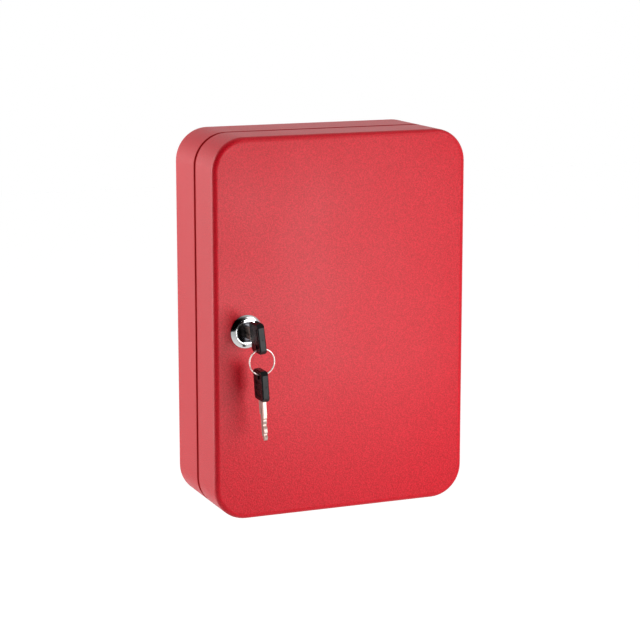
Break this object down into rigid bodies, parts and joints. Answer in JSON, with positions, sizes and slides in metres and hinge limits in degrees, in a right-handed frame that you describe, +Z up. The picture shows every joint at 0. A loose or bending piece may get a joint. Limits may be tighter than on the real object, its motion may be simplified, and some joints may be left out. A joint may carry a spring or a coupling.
{
  "type": "wall key cabinet",
  "caption": "Slim wall-mounted steel key cabinet with a hinged tray door, hook strips inside, a cam lock, and a pair of folding keys on a split ring.",
  "frame": {"origin": "centre of the four wall holes, on the wall face of the casing", "axes": "+Y into the wall, +Z up, +X to the right seen from the front"},
  "size_m": [0.1821, 0.104, 0.254],
  "materials": {
    "red_powder_coat": "fine-textured satin powder coat",
    "zinc_plate": "bright zinc plate",
    "chrome": "polished chrome plate",
    "ring_wire": "bright nickel-plated spring wire",
    "nickel": "nickel plate, fine brushed",
    "black_plastic": "moulded satin black"
  },
  "bodies": {
    "casing": {"casing": "red_powder_coat", "rim_frame": "red_powder_coat", "strike_bracket": "zinc_plate", "hinge_leaf_casing": "red_powder_coat", "hinge_pin": "zinc_plate", "hook_strip_1": "red_powder_coat", "hook_strip_2": "red_powder_coat", "hook_strip_3": "red_powder_coat", "hook_strip_4": "red_powder_coat"},
    "door": {"door": "red_powder_coat", "hinge_leaf_door": "red_powder_coat", "lock_barrel": "chrome", "lock_nut": "zinc_plate", "door_hook_strip_1": "red_powder_coat", "door_hook_strip_2": "red_powder_coat", "door_hook_strip_3": "red_powder_coat", "door_hook_strip_4": "red_powder_coat"},
    "plug": {"lock_plug": "chrome", "stop_washer": "zinc_plate", "cam": "zinc_plate", "cam_nut": "zinc_plate"},
    "key_1": {"key_blade_1": "nickel"},
    "head_1": {"key_head_1": "black_plastic", "key_pivot_1": "nickel"},
    "ring": {"split_ring": "ring_wire"},
    "head_2": {"key_head_2": "black_plastic", "key_pivot_2": "nickel"},
    "blade_2": {"key_blade_2": "nickel"}
  },
  "joints": [
    {"name": "door_hinge", "type": "hinge", "parent": "casing", "child": "door", "pos_m": [0.09015, -0.0397, 0], "axis": [0, 0, 1], "range_deg": [0, 170]},
    {"name": "plug_turn", "type": "hinge", "parent": "door", "child": "plug", "pos_m": [-0.0676, -0.075, 0], "axis": [0, 1, 0], "range_deg": [-83.5, 6.5]},
    {"name": "key_pull", "type": "slide", "parent": "plug", "child": "key_1", "axis": [0, -1, 0], "range_m": [0, 0.022]},
    {"name": "key_1_fold", "type": "hinge", "parent": "key_1", "child": "head_1", "pos_m": [-0.0676, -0.096, 0], "axis": [-0.9936, 0, -0.1132], "range_deg": [0, 90]},
    {"name": "ring_swing", "type": "hinge", "parent": "head_1", "child": "ring", "pos_m": [-0.06678, -0.0984, -0.00722], "axis": [0.9936, 0, 0.1132], "range_deg": [-60, 8]},
    {"name": "key_2_swing", "type": "hinge", "parent": "ring", "child": "head_2", "pos_m": [-0.0658, -0.0984, -0.02436], "axis": [1, 0, 0], "range_deg": [-45, 10]},
    {"name": "key_2_fold", "type": "hinge", "parent": "head_2", "child": "blade_2", "pos_m": [-0.06543, -0.096, -0.03147], "axis": [0.9981, 0, 0.061], "range_deg": [0, 30]}
  ]
}
